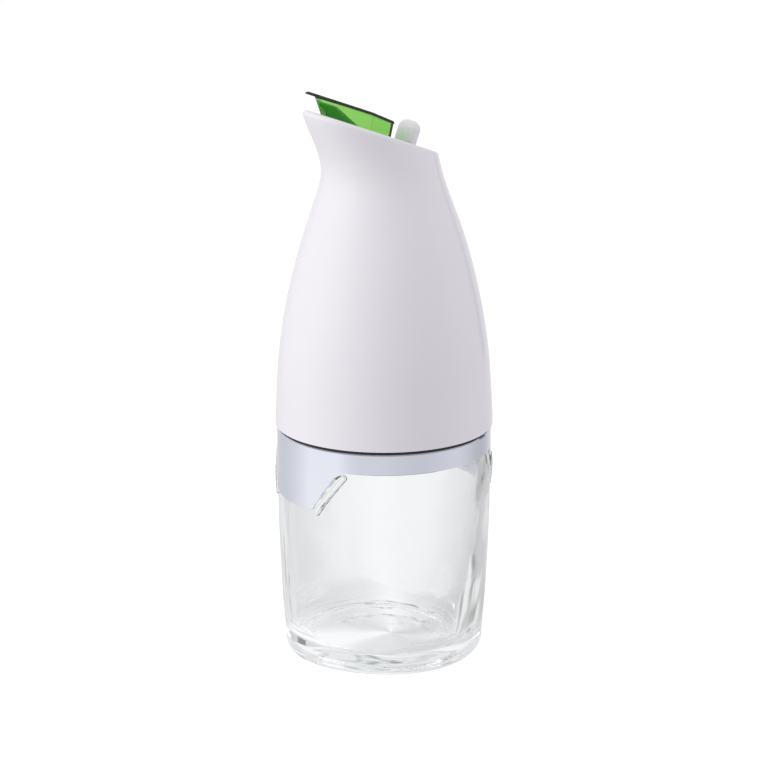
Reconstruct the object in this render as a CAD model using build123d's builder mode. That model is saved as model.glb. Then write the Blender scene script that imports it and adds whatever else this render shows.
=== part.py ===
"""Pouring cruet: a glass jar with a chrome band, under a white top with a spout and a green hinged lid.

Millimetres. +Z is up, the origin is the centre of the base, and the spout points to -Y.
The rim of the top lies in a plane that falls from the spout to the back. The lid, its lever
and the deck are drawn on that plane: X across, then back, then out of the rim.
"""

from build123d import *
from math import atan2, cos, degrees, pi, radians, sin, sqrt
import os

os.makedirs("parts", exist_ok=True)

# Clearances
FIT = 0.15
RUN = 0.05
SEAT = 0.1
OVERRUN = 1.0
PICK = 0.01

# Chrome band and its tongues
BAND_RADIUS = 40.0
BAND_WALL = 1.3
BAND_TOP = 86.6
BAND_HEIGHT = 7.5
BAND_FLANGE = 1.2
BAND_EDGE_BREAK = 0.4
TONGUE_DROP = 23.8
TONGUE_HALF_WIDTH = 12.8
TONGUE_FLARE = 0.65
TONGUE_FILLET = 7.0
TONGUE_CORNER = 0.8

# Glass jar
BASE_INSET = 2.5
HEEL_RADIUS = 3.2
WALL_CURVE = 2.5
WALL_SHARES = (0.0, 0.15, 0.35, 0.6, 1.0)
PUNT_INSET = 8.5
PUNT_DEPTH = 2.4
PUNT_SQUARENESS = 0.9
PUNT_STEPS = ((1.5, 0.5), (5.5, 1.35))
FLOOR_THICKNESS = 7.0
FLOOR_ROUND = 9.0
FLOOR_SQUARENESS = 1.8
HOLLOW_STEPS = 5
JAR_WALL = 3.9
NECK_INSET = 9.0
NECK_WALL = 3.5
NECK_TOP = 103.0
NECK_LIP_ROUND = 1.0
SHOULDER_ROUND = 3.0
INNER_SHOULDER_RISE = 0.75
BEAD_RADIUS = 1.15
BEAD_RISE = 0.75
BEAD_GAP = 2.75
BEAD_TOP_DROP = 9.5
BEAD_BOTTOM_DROP = 24.5

# Quick thread between the jar and the top
THREAD_LEAD = 16.0
THREAD_STARTS = 4
THREAD_SPAN = 40.0
THREAD_DEPTH = 1.3
THREAD_HALF_HEIGHT = 0.9
THREAD_HEIGHT = 96.0
COLLAR_WALL = 2.0
COLLAR_FLANGE = 1.6
COLLAR_DISC = 2.5
COLLAR_RISE = 0.9
GASKET_THICKNESS = 1.0
GASKET_OVERLAP = 0.5
RING_HEIGHT = 1.2
RING_WIDTH = 4.0
RING_INSET = 0.8

# White top
SHELL_WALL = 2.0
SHELL_OVERHANG = 0.6
SHELL_SEAM_GAP = 0.1
SHELL_HEIGHT = 108.0
RIM_TILT = 20.66
RIM_EDGE_ROUND = 1.4
LEDGE_WIDTH = 0.8
LEDGE_HEIGHT = 1.5
OUTLINE_POINTS = 24
SPOUT_SHARPNESS = 6

# Deck, pouring duct and vent
DECK_DROP = 2.2
DECK_THICKNESS = 2.0
DUCT_Y = -14.5
DUCT_BORE = 5.0
DUCT_WALL = 1.2
DUCT_FLANGE = 2.4
DUCT_FLANGE_THICKNESS = 1.5
SOCKET_WALL = 1.3
SOCKET_DEPTH = 8.0
POUR_RIM_HEIGHT = 0.5
DECK_GASKET_THICKNESS = 0.8
VENT_X = 12.5
VENT_Y = -3.0
VENT_BORE = 1.2
VENT_WALL = 0.8
TUBE_SINK = 0.5

# Hinge, spring and lever, on the rim's plane
HINGE_BACK = 7.0
HINGE_DEPTH = 3.5
PIN_RADIUS = 1.0
HUB_RADIUS = 2.2
LEVER_HALF_WIDTH = 4.8
WELL_HALF_WIDTH = 7.6
WELL_SIDE_WALL = 1.7
WELL_WALL = 1.1
WELL_GAP = 0.5
WELL_BACK = 16.4
WELL_DEPTH = 8.3
TAB_BACK = 9.4
TAB_HALF_WIDTH = 5.8
TAB_HALF_THICKNESS = 3.3
TAB_HEIGHT = 8.4
TAB_FOOT = 1.0
TAB_ROUND = 3.2
TAB_ROUND_TURNS = (0, 25, 50, 72)
ARM_TOP = 0.6
ARM_BOTTOM = 3.6
SPRING_WIRE = 0.25
SPRING_RADIUS = 1.9
SPRING_PITCH = 0.6
SPRING_TURNS = 3
SPRING_TAIL = 1.9
SPRING_LEG = 4.3

# Lid, on the rim's plane
LID_TOP = 5.5
LID_PLATE = 1.1
LID_WALL = 1.1
LID_LIP = 0.3
LID_BOTTOM = 1.5
LID_HALF_WIDTH = 8.6
LID_BACK = -2.0
LID_SHOULDER = 13.0
LID_TIP = 37.2
LID_FRONT_TOP = 33.3
LID_FRONT_BOTTOM = 27.9
LID_CORNER = 2.0
LID_EDGE_SHARE = 0.9
PLUG_TOP_FRONT = 26.8
PLUG_TOP_RADIUS = 4.0
PLUG_BOTTOM_FRONT = 16.8
PLUG_BOTTOM_RADIUS = 6.4
SEAL_RADIUS = 6.8
SEAL_THICKNESS = 0.9

# The top's form low down: share of its height, share of its narrowing up to the rim, spout's reach
SHELL_LOW_STATIONS = [
    (0.0, 0.0, 0.0),
    (0.115, 0.035, 0.0),
    (0.254, 0.108, 0.1),
    (0.392, 0.248, 0.2),
    (0.530, 0.452, 0.2),
    (0.669, 0.726, 0.2),
]

# The same near the rim: height from where the rim's plane crosses the axis, radius, spout's reach
SHELL_HIGH_STATIONS = [
    (-24.0, 24.9, 0.8),
    (-14.0, 21.5, 1.9),
    (-6.0, 19.6, 5.2),
    (2.0, 17.6, 10.6),
    (10.0, 14.7, 16.7),
    (18.0, 9.8, 21.4),
]

reach = 200.0
band_bottom = BAND_TOP - BAND_HEIGHT
tongue_bottom = BAND_TOP - TONGUE_DROP
band_inner = BAND_RADIUS - BAND_WALL
recess_radius = band_inner - FIT
glass_edge = band_bottom - FIT
glass_radius = BAND_RADIUS - SEAT
shoulder_top = BAND_TOP - BAND_FLANGE - SEAT
base_radius = BAND_RADIUS - BASE_INSET
punt_radius = base_radius - PUNT_INSET
neck_radius = BAND_RADIUS - NECK_INSET
mouth_radius = neck_radius - NECK_WALL
flange_inner = band_inner - RING_WIDTH
ring_outer = BAND_RADIUS - RING_INSET
inside_radius = glass_radius - JAR_WALL - FIT

shell_bottom = BAND_TOP + RING_HEIGHT + SHELL_SEAM_GAP
shell_radius = BAND_RADIUS + SHELL_OVERHANG
rim_height = shell_bottom + SHELL_HEIGHT
rim_sine = sin(radians(RIM_TILT))
rim_cosine = cos(radians(RIM_TILT))
rim = Plane(origin=(0, 0, rim_height), x_dir=(1, 0, 0), z_dir=(0, rim_sine, rim_cosine))
side = Plane(origin=rim.origin, x_dir=rim.y_dir, z_dir=(1, 0, 0))

collar_bore = neck_radius + THREAD_DEPTH + 2 * FIT
collar_outer = collar_bore + COLLAR_WALL
collar_bottom = shell_bottom + COLLAR_RISE
disc_bottom = NECK_TOP + GASKET_THICKNESS
disc_top = disc_bottom + COLLAR_DISC

deck_top = -DECK_DROP
deck_bottom = deck_top - DECK_THICKNESS
duct_outer = DUCT_BORE + DUCT_WALL
socket_inner = duct_outer + FIT
socket_outer = socket_inner + SOCKET_WALL
vent_outer = VENT_BORE + VENT_WALL
well_outer = WELL_HALF_WIDTH + WELL_SIDE_WALL
pour_rim_top = deck_top + POUR_RIM_HEIGHT
seal_bottom = pour_rim_top + SEAT
plug_bottom = seal_bottom + SEAL_THICKNESS
plate_bottom = LID_TOP - LID_PLATE
arm_front = LID_BACK - LID_LIP - LID_WALL - SEAT
well_front = arm_front - WELL_GAP


def outline_at(height, radius_at):
    """Closed smooth outline on a level plane, from its radius at each angle round from the spout."""
    points = []
    for step in range(OUTLINE_POINTS):
        angle = pi + 2 * pi * step / OUTLINE_POINTS
        radius = radius_at(angle)
        points.append((radius * sin(angle), -radius * cos(angle)))
    with BuildSketch(Plane.XY.offset(height)) as sketch:
        with BuildLine():
            Spline(*points, periodic=True)
        make_face()
    return sketch.sketch


def shell_form(inset):
    """The top's outer form, or its form inside a wall, up past the rim."""
    stations = []
    narrowing = shell_radius - SHELL_HIGH_STATIONS[0][1]
    for share, narrowed, spout in SHELL_LOW_STATIONS:
        stations.append((shell_bottom + SHELL_HEIGHT * share, shell_radius - narrowing * narrowed, spout))
    stations += [(rim_height + height, radius, spout) for height, radius, spout in SHELL_HIGH_STATIONS]
    sections = []
    for height, radius, spout in stations:
        body = radius - inset
        sections.append(outline_at(height, lambda angle: body + spout * cos(angle / 2) ** SPOUT_SHARPNESS))
    return loft(sections=sections)


def wall_radius(height):
    """The jar's outer radius at a height: it widens from the heel to the band, less and less."""
    share = min(1.0, (height - HEEL_RADIUS) / (glass_edge - HEEL_RADIUS))
    return base_radius + (glass_radius - base_radius) * (1 - (1 - share) ** WALL_CURVE)


def jar_hollow():
    """The jar's inside up to the band: round at the top, slightly square below, with a rounded floor."""
    sections = []
    for step in range(HOLLOW_STEPS + 1):
        share = step / HOLLOW_STEPS
        height = FLOOR_THICKNESS + (band_bottom - FLOOR_THICKNESS) * share
        radius = wall_radius(height) - JAR_WALL
        squareness = FLOOR_SQUARENESS * (1 - share) ** 2
        sections.append(outline_at(height, lambda angle: radius + squareness * cos(4 * angle)))
    squarish = loft(sections=sections)
    with BuildPart() as hollow:
        add(squarish)
        with BuildSketch(Plane.XZ) as cup:
            with Locations((0, FLOOR_THICKNESS)):
                Rectangle(glass_radius - JAR_WALL + FIT, reach, align=(Align.MIN, Align.MIN))
            fillet(cup.vertices().group_by(Axis.Y)[0].sort_by(Axis.X)[-1], FLOOR_ROUND)
        revolve(axis=Axis.Z, mode=Mode.INTERSECT)
    return hollow.part


def rim_slab(low, high):
    """Everything between two levels measured out of the rim."""
    with BuildPart() as slab:
        with BuildSketch(rim.offset(low)):
            Rectangle(reach, reach)
        extrude(amount=high - low)
    return slab.part


def upright_ring(x, y, inner, outer, low, high):
    """An upright ring whose ends lie at two levels measured out of the rim."""
    with BuildPart() as ring:
        with BuildSketch(Plane.XY.offset(disc_top)):
            with Locations((x, y)):
                Circle(outer)
                Circle(inner, mode=Mode.SUBTRACT)
        extrude(amount=reach)
        add(rim_slab(low, high), mode=Mode.INTERSECT)
    return ring.part


def thread_lugs(inner, outer, height):
    """Short lugs on the quick thread's helix, flat-sided, round a neck or inside a collar."""
    slope = degrees(atan2(THREAD_LEAD, pi * (inner + outer)))
    length = 2 * outer * sin(radians(THREAD_SPAN / 2))
    tall = 3 * THREAD_HALF_HEIGHT + length * sin(radians(slope))
    with BuildPart() as lugs:
        for start in range(THREAD_STARTS):
            angle = radians(360 * start / THREAD_STARTS)
            outward = Vector(cos(angle), sin(angle), 0)
            across = Vector(-sin(angle), cos(angle), 0)
            with BuildSketch(Plane(origin=(0, 0, height), x_dir=across, z_dir=outward)):
                Rectangle(length, 2 * THREAD_HALF_HEIGHT, rotation=slope)
            extrude(amount=outer + THREAD_DEPTH)
        with BuildSketch(Plane.XY.offset(height - tall)):
            Circle(outer)
            Circle(inner, mode=Mode.SUBTRACT)
        extrude(amount=2 * tall, mode=Mode.INTERSECT)
    return lugs.part


def band_region(grow):
    """The space that the band and its two tongues take, before it is cut to a ring."""
    low = tongue_bottom - grow
    edge = band_bottom - grow
    half = TONGUE_HALF_WIDTH + grow
    root = half + TONGUE_FLARE * (edge - low)
    with BuildPart() as region:
        with BuildSketch(Plane.XZ) as outline:
            with BuildLine():
                Polyline(
                    (-half, low),
                    (half, low),
                    (root, edge),
                    (reach, edge),
                    (reach, reach),
                    (-reach, reach),
                    (-reach, edge),
                    (-root, edge),
                    close=True,
                )
            make_face()
            edge_corners = outline.vertices().group_by(Axis.Y)[1]
            roots = edge_corners.filter_by(lambda corner: abs(corner.X) < reach / 2)
            fillet(roots, TONGUE_FILLET)
            fillet(outline.vertices().group_by(Axis.Y)[0], TONGUE_CORNER)
        extrude(amount=reach / 2, both=True)
    return region.part


def bead_point(x_sign, y_sign, drop):
    """A place on the centre line of a glass bead beside a tongue's slanted edge."""
    radius = BAND_RADIUS + BEAD_RISE - BEAD_RADIUS
    x = TONGUE_HALF_WIDTH + TONGUE_FLARE * (TONGUE_DROP - drop) + BEAD_GAP
    return (x_sign * x, y_sign * sqrt(radius**2 - x**2), BAND_TOP - drop)


def lid_outline(front, inset):
    """The lid's outline: straight at the back, half an ellipse in front."""
    half = LID_HALF_WIDTH - inset
    back = LID_BACK - inset
    with BuildSketch() as sketch:
        with BuildLine():
            EllipticalCenterArc(
                (0, -LID_SHOULDER), half, front - inset - LID_SHOULDER, start_angle=180, arc_size=180
            )
            Polyline((half, -LID_SHOULDER), (half, back), (-half, back), (-half, -LID_SHOULDER))
        make_face()
        fillet(sketch.vertices().group_by(Axis.Y)[-1], LID_CORNER - inset)
    return sketch.sketch


def skirt_between(inset):
    """The lid's skirt, whose front leans out towards the plate, or its hollow inside a wall."""
    lower = rim.offset(-LID_BOTTOM) * lid_outline(LID_FRONT_BOTTOM, inset)
    upper = rim.offset(plate_bottom) * lid_outline(LID_FRONT_TOP, inset)
    return loft(sections=[lower, upper])


# Chrome band, with a flange over the jar's shoulder and a tongue down the front and the back
band_space = band_region(0)
with BuildPart() as chrome_band:
    with BuildSketch(Plane.XY.offset(tongue_bottom)):
        Circle(BAND_RADIUS)
        Circle(band_inner, mode=Mode.SUBTRACT)
    extrude(amount=TONGUE_DROP)
    add(band_space, mode=Mode.INTERSECT)
    with BuildSketch(Plane.XY.offset(BAND_TOP - BAND_FLANGE)):
        Circle(BAND_RADIUS - BAND_WALL / 2)
        Circle(flange_inner, mode=Mode.SUBTRACT)
    extrude(amount=BAND_FLANGE)
    chamfer(chrome_band.edges().group_by(Axis.Z)[-1].sort_by(SortBy.LENGTH)[-1], BAND_EDGE_BREAK)
chrome_band.part.label = "chrome_band"

# Glass jar
jar_inside = jar_hollow()
recess_space = band_region(FIT)
with BuildPart() as tongue_recesses:
    with BuildSketch(Plane.XY.offset(tongue_bottom - HEEL_RADIUS)):
        Circle(BAND_RADIUS + BEAD_RISE)
        Circle(recess_radius, mode=Mode.SUBTRACT)
    extrude(amount=TONGUE_DROP)
    add(recess_space, mode=Mode.INTERSECT)

wall_heights = [HEEL_RADIUS + (glass_edge - HEEL_RADIUS) * share for share in WALL_SHARES]


def at_shoulder(vertex):
    """Whether a corner of the jar's profile is the outer corner of its shoulder."""
    return abs(vertex.X - recess_radius) < PICK and abs(vertex.Y - shoulder_top) < PICK


def at_lip(vertex):
    """Whether a corner of the jar's profile is the outer corner of its mouth."""
    return abs(vertex.X - neck_radius) < PICK and abs(vertex.Y - NECK_TOP) < PICK


punt_curve = (punt_radius**2 + PUNT_DEPTH**2) / (2 * PUNT_DEPTH)
punt_steps = []
for step_inset, step_depth in PUNT_STEPS:
    step_radius = punt_radius - step_inset
    outline = outline_at(0, lambda angle: step_radius + PUNT_SQUARENESS * cos(4 * angle))
    punt_steps.append((outline, step_depth))
with BuildPart() as glass_jar:
    with BuildSketch(Plane.XZ) as jar_profile:
        with BuildLine():
            heel = CenterArc((base_radius - HEEL_RADIUS, HEEL_RADIUS), HEEL_RADIUS, -90, 90)
            wall = Spline(
                *[(wall_radius(height), height) for height in wall_heights],
                tangents=((0, 1), (0, 1)),
            )
            Polyline(
                wall @ 1,
                (recess_radius, glass_edge),
                (recess_radius, shoulder_top),
                (neck_radius, shoulder_top),
                (neck_radius, NECK_TOP),
                (0, NECK_TOP),
                (0, 0),
                heel @ 0,
            )
        make_face()
        fillet(jar_profile.vertices().filter_by(at_shoulder), SHOULDER_ROUND)
        fillet(jar_profile.vertices().filter_by(at_lip), NECK_LIP_ROUND)
    revolve(axis=Axis.Z)
    add(thread_lugs(neck_radius - FIT, neck_radius + THREAD_DEPTH, THREAD_HEIGHT))
    add(tongue_recesses.part, mode=Mode.SUBTRACT)
    for x_sign in (-1, 1):
        for y_sign in (-1, 1):
            top_point = bead_point(x_sign, y_sign, BEAD_TOP_DROP)
            middle_point = bead_point(x_sign, y_sign, (BEAD_TOP_DROP + BEAD_BOTTOM_DROP) / 2)
            bottom_point = bead_point(x_sign, y_sign, BEAD_BOTTOM_DROP)
            with BuildLine() as bead_path:
                ThreePointArc(top_point, middle_point, bottom_point)
            with BuildSketch(Plane(origin=bead_path.line @ 0, z_dir=bead_path.line % 0)):
                Circle(BEAD_RADIUS)
            sweep(path=bead_path.line)
            with Locations(top_point, bottom_point):
                Sphere(BEAD_RADIUS)
    add(jar_inside, mode=Mode.SUBTRACT)
    with BuildSketch(Plane.XZ):
        with BuildLine():
            shoulder_curve = Spline(
                (inside_radius, band_bottom),
                (mouth_radius, shoulder_top + INNER_SHOULDER_RISE),
                tangents=((0, 1), (0, 1)),
            )
            Polyline(
                shoulder_curve @ 1,
                (mouth_radius, NECK_TOP + OVERRUN),
                (0, NECK_TOP + OVERRUN),
                (0, band_bottom - OVERRUN),
                (inside_radius, band_bottom - OVERRUN),
                shoulder_curve @ 0,
            )
        make_face()
    revolve(axis=Axis.Z, mode=Mode.SUBTRACT)
    with BuildSketch(Plane.XZ):
        with BuildLine():
            dome = RadiusArc((punt_radius, 0), (0, PUNT_DEPTH), -punt_curve)
            Polyline(dome @ 1, (0, 0), dome @ 0)
        make_face()
    revolve(axis=Axis.Z, mode=Mode.SUBTRACT)
    for outline, step_depth in punt_steps:
        extrude(to_extrude=outline, amount=step_depth, mode=Mode.SUBTRACT)
glass_jar.part.label = "glass_jar"

# Black ring that shows as the line between the band and the top
with BuildPart() as joint_ring:
    with BuildSketch(Plane.XY.offset(BAND_TOP)):
        Circle(ring_outer)
        Circle(ring_outer - RING_WIDTH, mode=Mode.SUBTRACT)
    extrude(amount=RING_HEIGHT)
joint_ring.part.label = "joint_ring"

# Flat gasket on the jar's mouth
with BuildPart() as mouth_gasket:
    with BuildSketch(Plane.XY.offset(NECK_TOP)):
        Circle(neck_radius)
        Circle(mouth_radius - GASKET_OVERLAP, mode=Mode.SUBTRACT)
    extrude(amount=GASKET_THICKNESS)
mouth_gasket.part.label = "mouth_gasket"

# Screw collar inside the top: the thread's lugs, and a disc over the mouth
with BuildPart() as screw_collar:
    with BuildSketch(Plane.XY.offset(collar_bottom)):
        Circle(collar_outer)
    extrude(amount=disc_top - collar_bottom)
    with BuildSketch(Plane.XY.offset(collar_bottom)):
        Circle(shell_radius - SHELL_WALL - FIT - SEAT)
    extrude(amount=COLLAR_FLANGE)
    with BuildSketch(Plane.XY.offset(collar_bottom)):
        Circle(collar_bore)
    extrude(amount=disc_bottom - collar_bottom, mode=Mode.SUBTRACT)
    add(
        thread_lugs(
            neck_radius + 2 * FIT,
            collar_bore + FIT,
            THREAD_HEIGHT - THREAD_LEAD / THREAD_STARTS / 2,
        )
    )
    with BuildSketch(Plane.XY.offset(disc_bottom)):
        with Locations((0, DUCT_Y)):
            Circle(duct_outer + FIT)
        with Locations((VENT_X, VENT_Y)):
            Circle(vent_outer + FIT)
    extrude(amount=COLLAR_DISC, mode=Mode.SUBTRACT)
screw_collar.part.label = "screw_collar"

# White top, open below and at the rim, with a ledge inside that carries the deck
shell_outside = shell_form(0)
shell_inside = shell_form(SHELL_WALL)
ledge_inside = shell_form(SHELL_WALL + LEDGE_WIDTH)
with BuildPart() as shell_cavity:
    add(shell_inside)
    add(rim_slab(deck_bottom - SEAT - LEDGE_HEIGHT, deck_bottom - SEAT), mode=Mode.SUBTRACT)
with BuildPart() as housing:
    add(shell_outside)
    add(shell_cavity.part, mode=Mode.SUBTRACT)
    add(ledge_inside, mode=Mode.SUBTRACT)
    split(bisect_by=rim, keep=Keep.BOTTOM)
    rim_edges = housing.edges().filter_by(lambda edge: abs(rim.to_local_coords(edge.center()).Z) < PICK)
    fillet(rim_edges.sort_by(SortBy.LENGTH)[-1], RIM_EDGE_ROUND)
housing.part.label = "housing"

# Deck just under the rim: pouring hole, vent hole, and the well that the lever swings in
deck_form = shell_form(SHELL_WALL + FIT)
with BuildPart() as pour_deck:
    add(deck_form)
    add(rim_slab(deck_bottom, deck_top), mode=Mode.INTERSECT)
    with BuildSketch(rim.offset(-WELL_DEPTH - WELL_WALL)):
        with Locations((0, (well_front + WELL_BACK) / 2)):
            Rectangle(2 * well_outer, WELL_BACK - well_front + 2 * WELL_WALL)
    extrude(amount=WELL_DEPTH + WELL_WALL + deck_top)
    add(upright_ring(0, DUCT_Y, socket_inner, socket_outer, deck_bottom - SOCKET_DEPTH, deck_top))
    add(upright_ring(0, DUCT_Y, DUCT_BORE, duct_outer, deck_bottom, pour_rim_top))
    with BuildSketch(rim.offset(-WELL_DEPTH)):
        with Locations((0, (well_front + WELL_BACK) / 2)):
            Rectangle(2 * WELL_HALF_WIDTH, WELL_BACK - well_front)
    extrude(amount=WELL_DEPTH, mode=Mode.SUBTRACT)
    with BuildSketch(Plane.XY.offset(disc_top)):
        with Locations((0, DUCT_Y)):
            Circle(DUCT_BORE)
        with Locations((VENT_X, VENT_Y)):
            Circle(vent_outer + FIT)
    extrude(amount=reach, mode=Mode.SUBTRACT)
    with BuildSketch(side):
        with Locations((HINGE_BACK, -HINGE_DEPTH)):
            Circle(PIN_RADIUS + RUN)
    extrude(amount=reach, both=True, mode=Mode.SUBTRACT)
pour_deck.part.label = "pour_deck"

# Pouring duct from the collar's disc up into the deck's socket
with BuildPart() as pour_duct:
    with BuildSketch(Plane.XY.offset(disc_bottom + TUBE_SINK)):
        with Locations((0, DUCT_Y)):
            Circle(duct_outer)
    extrude(amount=reach)
    add(rim_slab(-reach, deck_bottom - DECK_GASKET_THICKNESS), mode=Mode.INTERSECT)
    with BuildSketch(Plane.XY.offset(disc_top + GASKET_THICKNESS)):
        with Locations((0, DUCT_Y)):
            Circle(duct_outer + DUCT_FLANGE)
    extrude(amount=DUCT_FLANGE_THICKNESS)
    with BuildSketch(Plane.XY.offset(disc_bottom)):
        with Locations((0, DUCT_Y)):
            Circle(DUCT_BORE)
    extrude(amount=reach, mode=Mode.SUBTRACT)
pour_duct.part.label = "pour_duct"

# Gasket under the duct's flange
with BuildPart() as duct_gasket:
    with BuildSketch(Plane.XY.offset(disc_top)):
        with Locations((0, DUCT_Y)):
            Circle(duct_outer + DUCT_FLANGE - FIT)
            Circle(duct_outer + FIT, mode=Mode.SUBTRACT)
    extrude(amount=GASKET_THICKNESS)
duct_gasket.part.label = "duct_gasket"

# Gasket between the duct's top and the deck
deck_gasket_form = upright_ring(
    0, DUCT_Y, DUCT_BORE, duct_outer, deck_bottom - DECK_GASKET_THICKNESS, deck_bottom
)
with BuildPart() as deck_gasket:
    add(deck_gasket_form)
deck_gasket.part.label = "deck_gasket"

# Vent tube that lets air back into the jar
with BuildPart() as vent_tube:
    with BuildSketch(Plane.XY.offset(disc_bottom + TUBE_SINK)):
        with Locations((VENT_X, VENT_Y)):
            Circle(vent_outer)
            Circle(VENT_BORE, mode=Mode.SUBTRACT)
    extrude(amount=reach)
    add(rim_slab(-reach, deck_top), mode=Mode.INTERSECT)
vent_tube.part.label = "vent_tube"

# Hinge pin
with BuildPart() as hinge_pin:
    with BuildSketch(side):
        with Locations((HINGE_BACK, -HINGE_DEPTH)):
            Circle(PIN_RADIUS)
    extrude(amount=well_outer - FIT, both=True)
hinge_pin.part.label = "hinge_pin"

# Closing spring: a coil round the pin, a tail in the lever's side and a leg on the well's floor
coil_start = LEVER_HALF_WIDTH + 2 * SPRING_WIRE
coil_plane = Plane(
    origin=side.from_local_coords((HINGE_BACK, -HINGE_DEPTH, coil_start)),
    x_dir=-rim.y_dir,
    z_dir=(1, 0, 0),
)
coil = coil_plane * Helix(SPRING_PITCH, SPRING_PITCH * SPRING_TURNS, SPRING_RADIUS)
tail_end = coil @ 0
leg_end = coil @ 1
with BuildPart() as closing_spring:
    with BuildSketch(Plane(origin=tail_end, z_dir=coil % 0)):
        Circle(SPRING_WIRE)
    sweep(path=coil, is_frenet=True)
    with Locations(tail_end):
        Sphere(SPRING_WIRE)
    with BuildSketch(Plane(origin=tail_end, z_dir=(-1, 0, 0))):
        Circle(SPRING_WIRE)
    extrude(amount=SPRING_TAIL)
    with BuildSketch(Plane(origin=leg_end, z_dir=coil % 1)):
        Circle(SPRING_WIRE)
    extrude(amount=SPRING_LEG)
closing_spring.part.label = "closing_spring"

# Rounded end of the lever's tab
tab_shoulder = TAB_HEIGHT - TAB_ROUND
dome_sections = []
for turn in TAB_ROUND_TURNS:
    share = cos(radians(turn))
    with BuildSketch(rim.offset(tab_shoulder + TAB_ROUND * sin(radians(turn)))) as dome_section:
        with Locations((0, TAB_BACK)):
            Ellipse(TAB_HALF_WIDTH * share, TAB_HALF_THICKNESS * share)
    dome_sections.append(dome_section.sketch)
tab_dome = loft(sections=dome_sections)

# Thumb lever: hub on the pin, an arm under the lid's back wall and an upright tab
with BuildPart() as thumb_lever:
    with BuildSketch(side):
        with Locations((HINGE_BACK, -HINGE_DEPTH)):
            Circle(HUB_RADIUS)
        with BuildLine():
            Polyline(
                (arm_front, -ARM_BOTTOM),
                (arm_front, -ARM_TOP),
                (HINGE_BACK, -ARM_TOP),
                (HINGE_BACK, -HINGE_DEPTH - HUB_RADIUS),
                (HINGE_BACK - 2 * HUB_RADIUS, -HINGE_DEPTH - HUB_RADIUS),
                close=True,
            )
        make_face()
    extrude(amount=LEVER_HALF_WIDTH, both=True)
    with BuildSketch(rim.offset(-HINGE_DEPTH)):
        with Locations((0, TAB_BACK)):
            Ellipse(LEVER_HALF_WIDTH, TAB_HALF_THICKNESS * LEVER_HALF_WIDTH / TAB_HALF_WIDTH)
    extrude(amount=HINGE_DEPTH)
    with BuildSketch(rim.offset(-TAB_FOOT)):
        with Locations((0, TAB_BACK)):
            Ellipse(TAB_HALF_WIDTH, TAB_HALF_THICKNESS)
    extrude(amount=TAB_FOOT + tab_shoulder)
    add(tab_dome)
    with BuildSketch(side):
        with Locations((HINGE_BACK, -HINGE_DEPTH)):
            Circle(PIN_RADIUS + RUN)
    extrude(amount=reach, both=True, mode=Mode.SUBTRACT)
    with BuildSketch(rim.offset(-LID_BOTTOM - SEAT)):
        with Locations((0, LID_BACK - LID_LIP + SEAT)):
            Rectangle(2 * LEVER_HALF_WIDTH, LID_WALL + 2 * SEAT, align=(Align.CENTER, Align.MAX))
    extrude(amount=LID_BOTTOM + SEAT, mode=Mode.SUBTRACT)
    with BuildSketch(side.offset(LEVER_HALF_WIDTH)):
        with Locations((HINGE_BACK - SPRING_RADIUS, -HINGE_DEPTH)):
            Circle(SPRING_WIRE + FIT)
    extrude(amount=-SPRING_TAIL, mode=Mode.SUBTRACT)
thumb_lever.part.label = "thumb_lever"

# Green lid: a plate that reaches over the spout, on a hollow skirt
skirt_form = skirt_between(LID_LIP)
skirt_hollow = skirt_between(LID_LIP + LID_WALL)
with BuildPart() as pour_lid:
    with BuildSketch(rim.offset(plate_bottom)):
        add(lid_outline(LID_TIP, 0))
    extrude(amount=LID_PLATE)
    add(skirt_form)
    add(skirt_hollow, mode=Mode.SUBTRACT)
    lid_edges = pour_lid.edges().filter_by(
        lambda edge: abs(rim.to_local_coords(edge.center()).Z - LID_TOP) < PICK
    )
    back_edge = lid_edges.sort_by(lambda edge: rim.to_local_coords(edge.center()).Y)[-1]
    fillet(back_edge, LID_PLATE * LID_EDGE_SHARE)
pour_lid.part.label = "pour_lid"

# Solid plug under the lid's plate, leaning towards the spout
plug_form = loft(
    sections=[
        rim.offset(plug_bottom) * Pos(0, -PLUG_BOTTOM_FRONT) * Circle(PLUG_BOTTOM_RADIUS),
        rim.offset(plate_bottom) * Pos(0, -PLUG_TOP_FRONT) * Circle(PLUG_TOP_RADIUS),
    ]
)
with BuildPart() as lid_plug:
    add(plug_form)
lid_plug.part.label = "lid_plug"

# Soft seal under the plug that closes the pouring hole
seal_front = (DUCT_Y - pour_rim_top * rim_sine) / rim_cosine
with BuildPart() as lid_seal:
    with BuildSketch(rim.offset(seal_bottom)):
        with Locations((0, seal_front)):
            Circle(SEAL_RADIUS)
    extrude(amount=SEAL_THICKNESS)
lid_seal.part.label = "lid_seal"

pieces = [
    glass_jar,
    chrome_band,
    joint_ring,
    mouth_gasket,
    screw_collar,
    housing,
    pour_deck,
    pour_duct,
    duct_gasket,
    deck_gasket,
    vent_tube,
    hinge_pin,
    closing_spring,
    thumb_lever,
    pour_lid,
    lid_plug,
    lid_seal,
]
for piece in pieces:
    export_step(piece.part, f"parts/{piece.part.label}.step")
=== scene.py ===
"""Looks of the pouring cruet: a glass jar with a chrome band, a glossy white top and a clear green lid.

Metres, in the model's frame: +Z up, the spout towards -Y.
"""

from math import cos, pi, radians, sin

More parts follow.
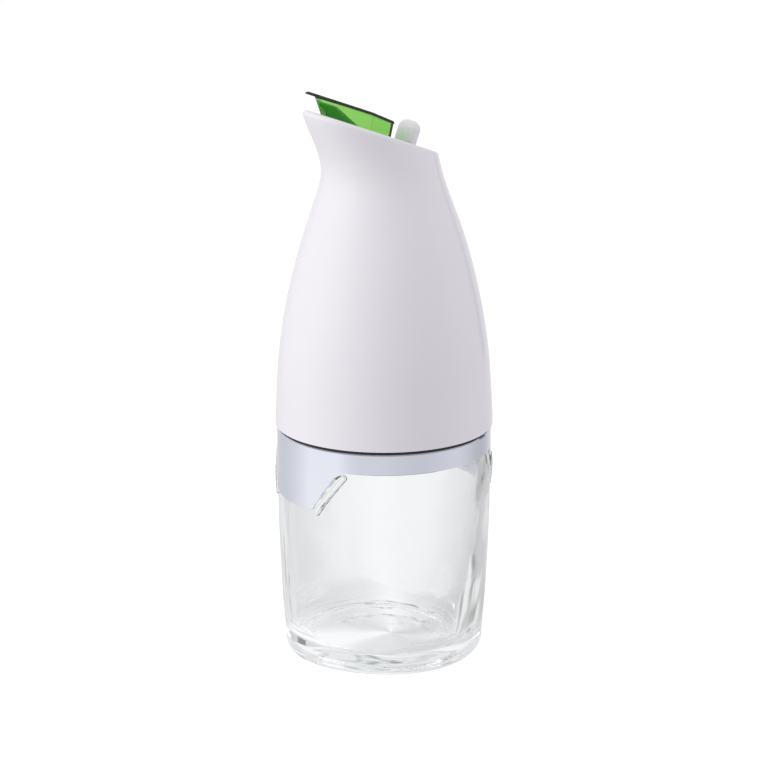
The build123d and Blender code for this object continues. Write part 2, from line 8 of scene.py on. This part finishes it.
import bpy
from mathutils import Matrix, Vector


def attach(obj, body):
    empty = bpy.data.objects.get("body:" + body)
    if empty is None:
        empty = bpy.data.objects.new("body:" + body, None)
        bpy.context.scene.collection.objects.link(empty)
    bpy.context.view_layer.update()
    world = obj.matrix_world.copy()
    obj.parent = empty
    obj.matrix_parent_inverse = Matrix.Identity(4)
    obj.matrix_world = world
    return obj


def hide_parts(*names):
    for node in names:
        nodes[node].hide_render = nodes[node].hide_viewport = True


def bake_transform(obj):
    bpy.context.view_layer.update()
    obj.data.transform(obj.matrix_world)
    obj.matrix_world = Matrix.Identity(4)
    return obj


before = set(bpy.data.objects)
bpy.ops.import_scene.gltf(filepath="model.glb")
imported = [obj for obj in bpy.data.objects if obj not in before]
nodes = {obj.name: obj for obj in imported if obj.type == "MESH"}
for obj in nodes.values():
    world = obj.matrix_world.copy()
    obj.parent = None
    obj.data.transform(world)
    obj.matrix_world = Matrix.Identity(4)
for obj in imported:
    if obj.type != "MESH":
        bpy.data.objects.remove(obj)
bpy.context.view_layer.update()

# Camera, set so that the band's, the rim's and the base's ellipses fall where the photograph has them
CAMERA_PLACE = (0.8227, -0.475, 0.373)
CAMERA_AIM = Vector((0.0, 0.0, 0.102))
CAMERA_LENS = 124.4
CAMERA_SENSOR = 36.0
CAMERA_NEAR = 0.01
CAMERA_TURN = radians(30)

HALF_TURN = 180
FULL_TURN = 360

# Light: white where it is seen, a lavender room on the object, and paper that glows by the kind of ray
WHITE = (1.0, 1.0, 1.0, 1.0)
ROOM_TINT = (0.625, 0.60, 0.65, 1.0)
FLOOR_LIGHT = (0.55, 0.54, 0.57, 1.0)
FLOOR_GLOW = (0.5, 0.5, 0.5, 1.0)
FLOOR_THROUGH = (1.0, 1.0, 1.0, 1.0)
FLOOR_SIZE = 8.0
PAPER = (0.8, 0.8, 0.8, 1.0)
LAMP_AIM = Vector((0.0, 0.0, 0.1))

# A dark gap between two lamps, seen in gloss, which starts on the floor at a distance from the object
GAP_TURN = 137
GAP_WIDTH = 9
GAP_SHADE = (0.2, 0.2, 0.22, 1.0)
GAP_DISTANCE = 0.6

# The studio's round in gloss: degrees from the camera's side and level, a little bluer than grey
BLUE_SHARE = 1.02
LIGHT_ROUND = (
    (-180, 0.98),
    (-160, 0.78),
    (-135, 0.70),
    (-100, 0.84),
    (-62, 1.09),
    (-32, 0.82),
    (0, 0.75),
    (36, 0.68),
    (82, 0.75),
    (118, 0.57),
    (142, 0.68),
    (168, 0.85),
    (180, 0.98),
)


# Camera and light

def calculated(tree, operation, first, second=None):
    """One step of arithmetic on two sockets or numbers."""
    step = tree.nodes.new("ShaderNodeMath")
    step.operation = operation
    for socket, value in zip(step.inputs, (first, second)):
        if isinstance(value, (int, float)):
            socket.default_value = value
        elif value is not None:
            tree.links.new(value, socket)
    return step.outputs[0]


def turn_towards(item, target):
    """Turns a camera or lamp so that it looks at a point."""
    item.rotation_mode = "QUATERNION"
    item.rotation_quaternion = (target - item.location).to_track_quat("-Z", "Y")


def put_camera():
    """The camera, at the photograph's angle."""
    bpy.ops.object.camera_add(location=CAMERA_PLACE)
    camera = bpy.context.object
    turn_towards(camera, CAMERA_AIM)
    camera.data.lens = CAMERA_LENS
    camera.data.sensor_width = CAMERA_SENSOR
    camera.data.clip_start = CAMERA_NEAR
    bpy.context.scene.camera = camera


def put_softbox(name, degrees, rise, distance, width, height, power):
    """A softbox at an angle round the object from the camera's side, which gloss and chrome don't mirror."""
    turn = radians(degrees) - CAMERA_TURN
    level = distance * cos(radians(rise))
    reach = Vector((level * cos(turn), level * sin(turn), distance * sin(radians(rise))))
    bpy.ops.object.light_add(type="AREA", location=LAMP_AIM + reach)
    lamp = bpy.context.object
    lamp.name = name
    turn_towards(lamp, LAMP_AIM)
    lamp.data.shape = "RECTANGLE"
    lamp.data.size = width
    lamp.data.size_y = height
    lamp.data.energy = power
    lamp.visible_glossy = False


def light_round_group():
    """Level of the studio's light by the direction it comes from, as polished surfaces show it."""
    group = bpy.data.node_groups.new("light_round", "ShaderNodeTree")
    group.interface.new_socket(name="Direction", in_out="INPUT", socket_type="NodeSocketVector")
    group.interface.new_socket(name="Gap", in_out="INPUT", socket_type="NodeSocketFloat")
    group.interface.new_socket(name="Color", in_out="OUTPUT", socket_type="NodeSocketColor")
    start = group.nodes.new("NodeGroupInput")
    end = group.nodes.new("NodeGroupOutput")
    parts = group.nodes.new("ShaderNodeSeparateXYZ")
    group.links.new(start.outputs["Direction"], parts.inputs["Vector"])
    turn = calculated(group, "ARCTAN2", parts.outputs["Y"], parts.outputs["X"])
    share = calculated(group, "DIVIDE", calculated(group, "ADD", turn, pi + CAMERA_TURN), 2 * pi)
    wrapped = calculated(group, "FRACT", share)
    levels = group.nodes.new("ShaderNodeValToRGB")
    levels.color_ramp.interpolation = "CARDINAL"
    while len(levels.color_ramp.elements) < len(LIGHT_ROUND):
        levels.color_ramp.elements.new(0.5)
    for stop, (degrees, level) in zip(levels.color_ramp.elements, LIGHT_ROUND):
        stop.position = (degrees + HALF_TURN) / FULL_TURN
        stop.color = (level, level, level * BLUE_SHARE, 1.0)
    group.links.new(wrapped, levels.inputs["Fac"])
    past_gap = calculated(group, "SUBTRACT", wrapped, (GAP_TURN + HALF_TURN) / FULL_TURN)
    off_gap = calculated(group, "ABSOLUTE", past_gap)
    in_gap = calculated(group, "LESS_THAN", off_gap, GAP_WIDTH / 2 / FULL_TURN)
    shade = calculated(group, "MULTIPLY", in_gap, start.outputs["Gap"])
    darken = group.nodes.new("ShaderNodeMix")
    darken.data_type = "RGBA"
    darken.inputs["B"].default_value = GAP_SHADE
    group.links.new(shade, darken.inputs["Factor"])
    group.links.new(levels.outputs["Color"], darken.inputs["A"])
    group.links.new(darken.outputs["Result"], end.inputs["Color"])
    return group


def colour_by_ray(tree, direction, plain, seen, through):
    """One colour for rays that light the object, one for what is seen, and the studio's round in gloss."""
    light_path = tree.nodes.new("ShaderNodeLightPath")
    studio = tree.nodes.new("ShaderNodeGroup")
    studio.node_tree = light_round
    away = tree.nodes.new("ShaderNodeVectorMath")
    away.operation = "LENGTH"
    tree.links.new(direction, away.inputs[0])
    tree.links.new(direction, studio.inputs["Direction"])
    far_off = calculated(tree, "GREATER_THAN", away.outputs["Value"], GAP_DISTANCE)
    tree.links.new(far_off, studio.inputs["Gap"])
    colour = None
    for ray, value in (("Is Camera Ray", seen), ("Is Transmission Ray", through), ("Is Glossy Ray", None)):
        choice = tree.nodes.new("ShaderNodeMix")
        choice.data_type = "RGBA"
        if colour is None:
            choice.inputs["A"].default_value = plain
        else:
            tree.links.new(colour, choice.inputs["A"])
        if value is None:
            tree.links.new(studio.outputs["Color"], choice.inputs["B"])
        else:
            choice.inputs["B"].default_value = value
        tree.links.new(light_path.outputs[ray], choice.inputs["Factor"])
        colour = choice.outputs["Result"]
    return colour


def light_room():
    """The world: a lavender room for soft light, white where it is seen, and the studio's round in gloss."""
    world = bpy.data.worlds.new("studio")
    bpy.context.scene.world = world
    world.use_nodes = True
    tree = world.node_tree
    background = tree.nodes["Background"]
    place = tree.nodes.new("ShaderNodeTexCoord")
    colour = colour_by_ray(tree, place.outputs["Generated"], ROOM_TINT, WHITE, WHITE)
    tree.links.new(colour, background.inputs["Color"])
    background.inputs["Strength"].default_value = 1.0


def lay_floor():
    """White paper that glows by the kind of ray, and adds the lamps' light where the camera sees it."""
    bpy.ops.mesh.primitive_plane_add(size=FLOOR_SIZE, location=(0.0, 0.0, 0.0))
    floor = bpy.context.object
    floor.name = "studio_floor"
    paper = bpy.data.materials.new("white_paper")
    paper.use_nodes = True
    tree = paper.node_tree
    tree.nodes.remove(tree.nodes["Principled BSDF"])
    matt = tree.nodes.new("ShaderNodeBsdfDiffuse")
    matt.inputs["Color"].default_value = PAPER
    place = tree.nodes.new("ShaderNodeTexCoord")
    glow = tree.nodes.new("ShaderNodeEmission")
    colour = colour_by_ray(tree, place.outputs["Object"], FLOOR_LIGHT, FLOOR_GLOW, FLOOR_THROUGH)
    tree.links.new(colour, glow.inputs["Color"])
    lit = tree.nodes.new("ShaderNodeAddShader")
    tree.links.new(matt.outputs[0], lit.inputs[0])
    tree.links.new(glow.outputs[0], lit.inputs[1])
    mirrored = tree.nodes.new("ShaderNodeMixShader")
    light_path = tree.nodes.new("ShaderNodeLightPath")
    tree.links.new(light_path.outputs["Is Camera Ray"], mirrored.inputs[0])
    tree.links.new(glow.outputs[0], mirrored.inputs[1])
    tree.links.new(lit.outputs[0], mirrored.inputs[2])
    tree.links.new(mirrored.outputs[0], tree.nodes["Material Output"].inputs["Surface"])
    floor.data.materials.append(paper)


light_round = light_round_group()
put_camera()
light_room()
lay_floor()
put_softbox("key_softbox", degrees=-70, rise=26, distance=1.3, width=1.1, height=1.3, power=9.2)
put_softbox("side_softbox", degrees=100, rise=20, distance=1.3, width=0.8, height=1.2, power=3.6)


# Finishes

PATCH_DETAIL = 3.0
GRAIN_DETAIL = 2.0
PATCH_LOW = 0.3
PATCH_HIGH = 0.7

# Cast glass: dots under the base, the slow wave of its walls, and a painted glow where rays are caught in
# them, darkened to painted shade in streaks
SQUARENESS = 1.6
DOT_RING = (0.0250, 0.0272)
DOT_SPACING = 0.0013
DOT_HEIGHT = 0.0005
UNDERSIDE = 0.0045
WAVE_LENGTH = 0.012
WAVE_HEIGHT = 0.0003
CAUGHT_AFTER = 2.5
# Painted shade on the glow: everywhere above the beads' foot, and below it in upright streaks
BEAD_FOOT = 0.058
STREAK_LENGTH = 0.02
STREAK_STRETCH = 5.0
STREAK_DETAIL = 1.0
STREAK_FROM = 0.5
STREAK_TO = 0.72
STREAK_SHADE_DEPTH = 0.65
# Painted light: the grey glow that a ray caught in the jar's walls ends on
GLASS_PAINTED_GLOW = (0.84, 0.85, 0.86)
# Painted shade that the jar's glow is darkened to
GLASS_PAINTED_SHADE = (0.11, 0.125, 0.095)
# Painted shade: the near black that a ray caught in the green lid's walls ends on, for the lid's dark edges
GREEN_PAINTED_SHADE = (0.004, 0.02, 0.002)


def mottle_group():
    """Soft cloudy variation in object space: a mask from 0 to 1, and a height for bumps."""
    group = bpy.data.node_groups.new("mottle", "ShaderNodeTree")
    group.interface.new_socket(name="Patch Size", in_out="INPUT", socket_type="NodeSocketFloat")
    group.interface.new_socket(name="Grain Size", in_out="INPUT", socket_type="NodeSocketFloat")
    group.interface.new_socket(name="Mask", in_out="OUTPUT", socket_type="NodeSocketFloat")
    group.interface.new_socket(name="Height", in_out="OUTPUT", socket_type="NodeSocketFloat")
    start = group.nodes.new("NodeGroupInput")
    end = group.nodes.new("NodeGroupOutput")
    place = group.nodes.new("ShaderNodeTexCoord")
    patches = group.nodes.new("ShaderNodeTexNoise")
    patches.inputs["Detail"].default_value = PATCH_DETAIL
    grain = group.nodes.new("ShaderNodeTexNoise")
    grain.inputs["Detail"].default_value = GRAIN_DETAIL
    spread = group.nodes.new("ShaderNodeMapRange")
    spread.inputs["From Min"].default_value = PATCH_LOW
    spread.inputs["From Max"].default_value = PATCH_HIGH
    group.links.new(place.outputs["Object"], patches.inputs["Vector"])
    group.links.new(place.outputs["Object"], grain.inputs["Vector"])
    group.links.new(start.outputs["Patch Size"], patches.inputs["Scale"])
    group.links.new(start.outputs["Grain Size"], grain.inputs["Scale"])
    group.links.new(patches.outputs["Fac"], spread.inputs["Value"])
    group.links.new(spread.outputs["Result"], end.inputs["Mask"])
    group.links.new(grain.outputs["Fac"], end.inputs["Height"])
    return group


def finish_of(name, colour, deep_colour, roughness, patch, grain, bump_distance, **constants):
    """A principled material whose colour and gloss drift over the surface, with a fine skin."""
    finish = bpy.data.materials.new(name)
    finish.use_nodes = True
    tree = finish.node_tree
    shader = tree.nodes["Principled BSDF"]
    cloud = tree.nodes.new("ShaderNodeGroup")
    cloud.node_tree = mottle
    cloud.inputs["Patch Size"].default_value = patch
    cloud.inputs["Grain Size"].default_value = grain
    blend = tree.nodes.new("ShaderNodeMix")
    blend.data_type = "RGBA"
    blend.inputs["A"].default_value = (*colour, 1.0)
    blend.inputs["B"].default_value = (*deep_colour, 1.0)
    gloss = tree.nodes.new("ShaderNodeMapRange")
    gloss.inputs["To Min"].default_value = roughness[0]
    gloss.inputs["To Max"].default_value = roughness[1]
    bump = tree.nodes.new("ShaderNodeBump")
    bump.inputs["Distance"].default_value = bump_distance
    tree.links.new(cloud.outputs["Mask"], blend.inputs["Factor"])
    tree.links.new(blend.outputs["Result"], shader.inputs["Base Color"])
    tree.links.new(cloud.outputs["Mask"], gloss.inputs["Value"])
    tree.links.new(gloss.outputs["Result"], shader.inputs["Roughness"])
    tree.links.new(cloud.outputs["Height"], bump.inputs["Height"])
    tree.links.new(bump.outputs["Normal"], shader.inputs["Normal"])
    for socket, value in constants.items():
        shader.inputs[socket.replace("_", " ")].default_value = value
    return finish


def base_dots_group():
    """Height of the small dots pressed in a squarish ring under the base."""
    group = bpy.data.node_groups.new("base_dots", "ShaderNodeTree")
    group.interface.new_socket(name="Height", in_out="OUTPUT", socket_type="NodeSocketFloat")
    end = group.nodes.new("NodeGroupOutput")
    place = group.nodes.new("ShaderNodeTexCoord")
    parts = group.nodes.new("ShaderNodeSeparateXYZ")
    group.links.new(place.outputs["Object"], parts.inputs["Vector"])
    across = calculated(group, "POWER", calculated(group, "ABSOLUTE", parts.outputs["X"]), SQUARENESS)
    along = calculated(group, "POWER", calculated(group, "ABSOLUTE", parts.outputs["Y"]), SQUARENESS)
    reach = calculated(group, "POWER", calculated(group, "ADD", across, along), 1 / SQUARENESS)
    dots = group.nodes.new("ShaderNodeTexVoronoi")
    dots.inputs["Scale"].default_value = 1 / DOT_SPACING
    group.links.new(place.outputs["Object"], dots.inputs["Vector"])
    outside = calculated(group, "GREATER_THAN", reach, DOT_RING[0])
    inside = calculated(group, "LESS_THAN", reach, DOT_RING[1])
    below = calculated(group, "LESS_THAN", parts.outputs["Z"], UNDERSIDE)
    ring = calculated(group, "MULTIPLY", calculated(group, "MULTIPLY", outside, inside), below)
    group.links.new(calculated(group, "MULTIPLY", ring, dots.outputs["Distance"]), end.inputs["Height"])
    return group


def cast_glass_skin(finish):
    """Adds the slow wave of cast glass and the base's dots under the glass's own fine skin."""
    tree = finish.node_tree
    dots = tree.nodes.new("ShaderNodeGroup")
    dots.node_tree = base_dots
    wave = tree.nodes.new("ShaderNodeTexNoise")
    wave.inputs["Scale"].default_value = 1 / WAVE_LENGTH
    wave.inputs["Detail"].default_value = 0.0
    place = tree.nodes.new("ShaderNodeTexCoord")
    tree.links.new(place.outputs["Object"], wave.inputs["Vector"])
    skin = next(node for node in tree.nodes if node.bl_idname == "ShaderNodeBump")
    wavy = tree.nodes.new("ShaderNodeBump")
    wavy.inputs["Distance"].default_value = WAVE_HEIGHT
    dotted = tree.nodes.new("ShaderNodeBump")
    dotted.inputs["Distance"].default_value = DOT_HEIGHT
    tree.links.new(wave.outputs["Fac"], wavy.inputs["Height"])
    tree.links.new(wavy.outputs["Normal"], dotted.inputs["Normal"])
    tree.links.new(dots.outputs["Height"], dotted.inputs["Height"])
    tree.links.new(dotted.outputs["Normal"], skin.inputs["Normal"])


def lets_light_through_with_painted_glow(finish, tint, painted_caught_level):
    """Soft light passes straight through, and a ray caught between the walls ends on a glow at the given
    level: painted light, and painted shade where the level is dark.
    """
    tree = finish.node_tree
    rays = tree.nodes.new("ShaderNodeLightPath").outputs
    soft = calculated(tree, "MAXIMUM", rays["Is Shadow Ray"], rays["Is Diffuse Ray"])
    straight = tree.nodes.new("ShaderNodeBsdfTransparent")
    straight.inputs["Color"].default_value = (*tint, 1.0)
    passing = tree.nodes.new("ShaderNodeMixShader")
    tree.links.new(soft, passing.inputs[0])
    tree.links.new(tree.nodes["Principled BSDF"].outputs[0], passing.inputs[1])
    tree.links.new(straight.outputs[0], passing.inputs[2])
    # The painted glow that a caught ray ends on
    level = tree.nodes.new("ShaderNodeEmission")
    level.inputs["Color"].default_value = (*painted_caught_level, 1.0)
    caught = calculated(tree, "GREATER_THAN", rays["Glossy Depth"], CAUGHT_AFTER)
    ended = tree.nodes.new("ShaderNodeMixShader")
    tree.links.new(caught, ended.inputs[0])
    tree.links.new(passing.outputs[0], ended.inputs[1])
    tree.links.new(level.outputs[0], ended.inputs[2])
    tree.links.new(ended.outputs[0], tree.nodes["Material Output"].inputs["Surface"])
    return level


def paint_shade_streaks(finish, level):
    """Darkens the painted glow of rays caught in the jar's walls to painted shade, in upright streaks and
    wholly from the beads' foot up.
    """
    tree = finish.node_tree
    place = tree.nodes.new("ShaderNodeTexCoord")
    parts = tree.nodes.new("ShaderNodeSeparateXYZ")
    drawn_out = tree.nodes.new("ShaderNodeVectorMath")
    drawn_out.operation = "MULTIPLY"
    drawn_out.inputs[1].default_value = (STREAK_STRETCH, STREAK_STRETCH, 1.0)
    cloud = tree.nodes.new("ShaderNodeTexNoise")
    cloud.inputs["Scale"].default_value = 1 / STREAK_LENGTH
    cloud.inputs["Detail"].default_value = STREAK_DETAIL
    streaks = tree.nodes.new("ShaderNodeMapRange")
    streaks.inputs["From Min"].default_value = STREAK_FROM
    streaks.inputs["From Max"].default_value = STREAK_TO
    streaks.inputs["To Max"].default_value = STREAK_SHADE_DEPTH
    tree.links.new(place.outputs["Object"], parts.inputs["Vector"])
    tree.links.new(place.outputs["Object"], drawn_out.inputs[0])
    tree.links.new(drawn_out.outputs["Vector"], cloud.inputs["Vector"])
    tree.links.new(cloud.outputs["Fac"], streaks.inputs["Value"])
    # Painted shade over the whole glow above the beads' foot
    shaded_above_foot = calculated(tree, "GREATER_THAN", parts.outputs["Z"], BEAD_FOOT)
    darken = tree.nodes.new("ShaderNodeMix")
    darken.data_type = "RGBA"
    darken.inputs["A"].default_value = level.inputs["Color"].default_value
    darken.inputs["B"].default_value = (*GLASS_PAINTED_SHADE, 1.0)
    tree.links.new(calculated(tree, "MAXIMUM", streaks.outputs["Result"], shaded_above_foot), darken.inputs["Factor"])
    tree.links.new(darken.outputs["Result"], level.inputs["Color"])


def tint_inside(finish, colour, density):
    """Colours what the light crosses, so a thick part of the piece is darker than a thin one."""
    tree = finish.node_tree
    body = tree.nodes.new("ShaderNodeVolumeAbsorption")
    body.inputs["Color"].default_value = (*colour, 1.0)
    body.inputs["Density"].default_value = density
    tree.links.new(body.outputs[0], tree.nodes["Material Output"].inputs["Volume"])


mottle = mottle_group()
base_dots = base_dots_group()

gloss_white = finish_of(
    "gloss_white_plastic", (0.90, 0.893, 0.905), (0.875, 0.868, 0.885), roughness=(0.10, 0.17),
    patch=22.0, grain=900.0, bump_distance=0.000004, IOR=1.49,
)
satin_white = finish_of(
    "satin_white_plastic", (0.84, 0.84, 0.84), (0.79, 0.79, 0.80), roughness=(0.32, 0.45),
    patch=60.0, grain=2500.0, bump_distance=0.00001,
)
chrome = finish_of(
    "polished_chrome", (0.80, 0.825, 0.90), (0.77, 0.795, 0.875), roughness=(0.03, 0.075),
    patch=35.0, grain=300.0, bump_distance=0.0000006, Metallic=1.0,
)
black_rubber = finish_of(
    "black_rubber", (0.012, 0.012, 0.014), (0.03, 0.03, 0.032), roughness=(0.45, 0.65),
    patch=120.0, grain=4000.0, bump_distance=0.00001,
)
silicone = finish_of(
    "milky_silicone", (0.80, 0.80, 0.78), (0.74, 0.74, 0.72), roughness=(0.35, 0.55),
    patch=80.0, grain=1500.0, bump_distance=0.00001,
)
steel = finish_of(
    "bright_steel", (0.62, 0.62, 0.64), (0.52, 0.52, 0.54), roughness=(0.18, 0.30),
    patch=300.0, grain=5000.0, bump_distance=0.000003, Metallic=1.0,
)
clear_glass = finish_of(
    "clear_glass", (1.0, 1.0, 1.0), (0.99, 0.995, 0.995), roughness=(0.0, 0.012),
    patch=14.0, grain=45.0, bump_distance=0.00008, IOR=1.52, Transmission_Weight=1.0,
)
tint_inside(clear_glass, (0.7, 0.8, 0.78), density=2.0)
cast_glass_skin(clear_glass)
# Painted light in the jar's walls, darkened to painted shade in streaks and above the beads' foot
paint_shade_streaks(clear_glass, lets_light_through_with_painted_glow(clear_glass, (0.93, 0.935, 0.935), painted_caught_level=GLASS_PAINTED_GLOW))
clear_green = finish_of(
    "clear_green_plastic", (1.0, 1.0, 1.0), (0.97, 1.0, 0.96), roughness=(0.01, 0.04),
    patch=60.0, grain=140.0, bump_distance=0.00001, IOR=1.57, Transmission_Weight=1.0, Specular_IOR_Level=0.2,
)
tint_inside(clear_green, (0.423, 0.81, 0.03), density=1000.0)
# Painted shade: rays caught in the lid's walls end near black
lets_light_through_with_painted_glow(clear_green, (0.97, 0.985, 0.96), painted_caught_level=GREEN_PAINTED_SHADE)
deep_green = finish_of(
    "deep_green_plastic", (0.045, 0.42, 0.015), (0.03, 0.36, 0.01), roughness=(0.06, 0.14),
    patch=90.0, grain=140.0, bump_distance=0.00001, IOR=1.57,
)


# Pieces

WELD = 0.000002
CREASE = radians(30)

# The jar's foot: the cage it is squared off in, whose own places run from -0.5 to 0.5, and how far
# its corners go out and its sides come in
FOOT_HEIGHT = 0.06
FOOT_REACH = 0.041
CAGE_ROWS = 4
CAGE_MIDDLE = 0.1
CORNER_PUSH = 1.04
SIDE_PULL = 0.95

# The rim's plane, on which the lid lies, and the lid's back wall: from and to out of the plane, and its shift
RIM_TILT = radians(20.66)
RIM_CENTRE = Vector((0.0, 0.0, 0.1959))
RIM_ALONG = Vector((0.0, cos(RIM_TILT), sin(RIM_TILT)))
RIM_OUT = Vector((0.0, -sin(RIM_TILT), cos(RIM_TILT)))
LID_BACK_INSIDE = -0.0036
LID_LEAN = ((-0.01, 0.0005, 0.0014), (0.003, 0.01, -0.0009))

# CAD node, piece, finish and the body that it rides on, which the spring between two bodies doesn't
PIECES = (
    ("glass_jar", "jar_glass", clear_glass, "jar"),
    ("chrome_band", "band_chrome", chrome, "jar"),
    ("joint_ring", "joint_ring_rubber", black_rubber, "jar"),
    ("mouth_gasket", "mouth_gasket_soft", silicone, "gasket"),
    ("screw_collar", "collar_moulding", satin_white, "top"),
    ("housing", "top_shell", gloss_white, "top"),
    ("pour_deck", "deck_moulding", satin_white, "top"),
    ("pour_duct", "duct_moulding", satin_white, "top"),
    ("duct_gasket", "duct_gasket_soft", silicone, "top"),
    ("deck_gasket", "deck_gasket_soft", silicone, "top"),
    ("vent_tube", "vent_moulding", satin_white, "top"),
    ("hinge_pin", "pin_steel", steel, "top"),
    ("closing_spring", "spring_steel", steel, None),
    ("thumb_lever", "thumb_tab", gloss_white, "lid"),
    ("pour_lid", "green_lid", clear_green, "lid"),
    ("lid_plug", "green_plug", deep_green, "lid"),
    ("lid_seal", "seal_soft", silicone, "lid"),
)


def rest_alone(piece):
    """Makes one piece the only one that the next tools act on."""
    bpy.ops.object.select_all(action="DESELECT")
    piece.select_set(True)
    bpy.context.view_layer.objects.active = piece


def skin_of(node, name, finish):
    """The piece as it was built, joined into one skin and shaded smooth up to its creases."""
    piece = bpy.data.objects.new(name, nodes[node].data.copy())
    bpy.context.scene.collection.objects.link(piece)
    rest_alone(piece)
    bpy.ops.object.mode_set(mode="EDIT")
    bpy.ops.mesh.select_all(action="SELECT")
    bpy.ops.mesh.remove_doubles(threshold=WELD)
    bpy.ops.mesh.customdata_custom_splitnormals_clear()
    bpy.ops.object.mode_set(mode="OBJECT")
    bpy.ops.object.shade_smooth_by_angle(angle=CREASE)
    piece.data.materials.clear()
    piece.data.materials.append(finish)
    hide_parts(node)
    return piece


def square_off(piece):
    """Pushes the jar's foot out along both axes and pulls it in between, for a slightly square outline."""
    bpy.ops.object.add(type="LATTICE", location=(0.0, 0.0, FOOT_HEIGHT / 2))
    cage = bpy.context.object
    cage.scale = (2 * FOOT_REACH, 2 * FOOT_REACH, FOOT_HEIGHT)
    cage.data.points_u = 3
    cage.data.points_v = 3
    cage.data.points_w = CAGE_ROWS
    for point in cage.data.points:
        if point.co.z < CAGE_MIDDLE:
            on_axis = (abs(point.co.x) < CAGE_MIDDLE) != (abs(point.co.y) < CAGE_MIDDLE)
            push = CORNER_PUSH if on_axis else SIDE_PULL
            point.co_deform.x *= push
            point.co_deform.y *= push
    rest_alone(piece)
    bend = piece.modifiers.new("square_foot", "LATTICE")
    bend.object = cage
    bpy.ops.object.modifier_apply(modifier=bend.name)
    bpy.data.objects.remove(cage)


def lean_back(piece):
    """Stands the lid's back wall upright: its upper edge comes forward and its lower edge goes back."""
    rest_alone(piece)
    for lowest, highest, shift in LID_LEAN:
        for corner in piece.data.vertices:
            from_rim = corner.co - RIM_CENTRE
            in_back = from_rim.dot(RIM_ALONG) > LID_BACK_INSIDE
            corner.select = in_back and lowest < from_rim.dot(RIM_OUT) < highest
        bpy.ops.object.mode_set(mode="EDIT")
        bpy.ops.transform.translate(value=RIM_ALONG * shift)
        bpy.ops.mesh.select_all(action="DESELECT")
        bpy.ops.object.mode_set(mode="OBJECT")


skins = {}
for node, name, finish, body in PIECES:
    skins[name] = skin_of(node, name, finish)
    if body:
        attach(skins[name], body)
square_off(skins["jar_glass"])
lean_back(skins["green_lid"])
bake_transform(skins["spring_steel"])

bpy.context.scene.view_settings.view_transform = "Standard"
